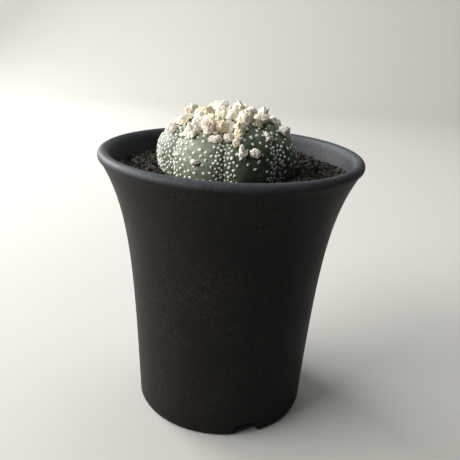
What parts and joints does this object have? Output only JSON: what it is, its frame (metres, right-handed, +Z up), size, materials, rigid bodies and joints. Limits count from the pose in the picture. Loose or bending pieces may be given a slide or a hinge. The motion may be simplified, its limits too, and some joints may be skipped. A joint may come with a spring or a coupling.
{
  "type": "potted round cactus",
  "caption": "Spineless ribbed round cactus with woolly tufts, growing in grit in a tall flared black plastic pot.",
  "frame": {"origin": "centre of the pot's foot, on the surface that it stands on", "axes": "+Z up along the pot's axis, -Y towards the front"},
  "size_m": [0.09, 0.09, 0.1107],
  "materials": {
    "pot_plastic": "matte",
    "soil_grit": "matte",
    "cactus_skin": "matte",
    "areole_wool": "matte",
    "net_plastic": "matte",
    "pumice": "matte"
  },
  "bodies": {
    "root": {"areole_crown_1": "areole_wool", "areole_crown_2": "areole_wool", "areole_crown_3": "areole_wool", "areole_crown_4": "areole_wool", "areole_crown_5": "areole_wool", "areole_rib_back_left_1": "areole_wool", "areole_rib_back_left_2": "areole_wool", "areole_rib_back_right_1": "areole_wool", "areole_rib_back_right_2": "areole_wool", "areole_rib_back_right_3": "areole_wool", "areole_rib_front_left_1": "areole_wool", "areole_rib_front_left_2": "areole_wool", "areole_rib_front_left_3": "areole_wool", "areole_rib_front_left_4": "areole_wool", "areole_rib_front_left_5": "areole_wool", "areole_rib_front_left_6": "areole_wool", "areole_rib_front_left_7": "areole_wool", "areole_rib_front_left_8": "areole_wool", "areole_rib_front_left_9": "areole_wool", "areole_rib_front_right_1": "areole_wool", "areole_rib_front_right_10": "areole_wool", "areole_rib_front_right_2": "areole_wool", "areole_rib_front_right_3": "areole_wool", "areole_rib_front_right_4": "areole_wool", "areole_rib_front_right_5": "areole_wool", "areole_rib_front_right_6": "areole_wool", "areole_rib_front_right_7": "areole_wool", "areole_rib_front_right_8": "areole_wool", "areole_rib_front_right_9": "areole_wool", "areole_rib_left_1": "areole_wool", "areole_rib_left_2": "areole_wool", "areole_rib_left_3": "areole_wool", "areole_rib_left_4": "areole_wool", "areole_rib_rear_left_1": "areole_wool", "areole_rib_rear_left_2": "areole_wool", "areole_rib_rear_left_3": "areole_wool", "areole_rib_rear_left_4": "areole_wool", "areole_rib_rear_right_1": "areole_wool", "areole_rib_rear_right_2": "areole_wool", "areole_rib_rear_right_3": "areole_wool", "areole_rib_rear_right_4": "areole_wool", "areole_rib_right_1": "areole_wool", "areole_rib_right_2": "areole_wool", "areole_rib_right_3": "areole_wool", "cactus_body": "cactus_skin", "drain_net": "net_plastic", "drainage_pumice": "pumice", "pot": "pot_plastic", "soil": "soil_grit"}
  },
  "joints": []
}
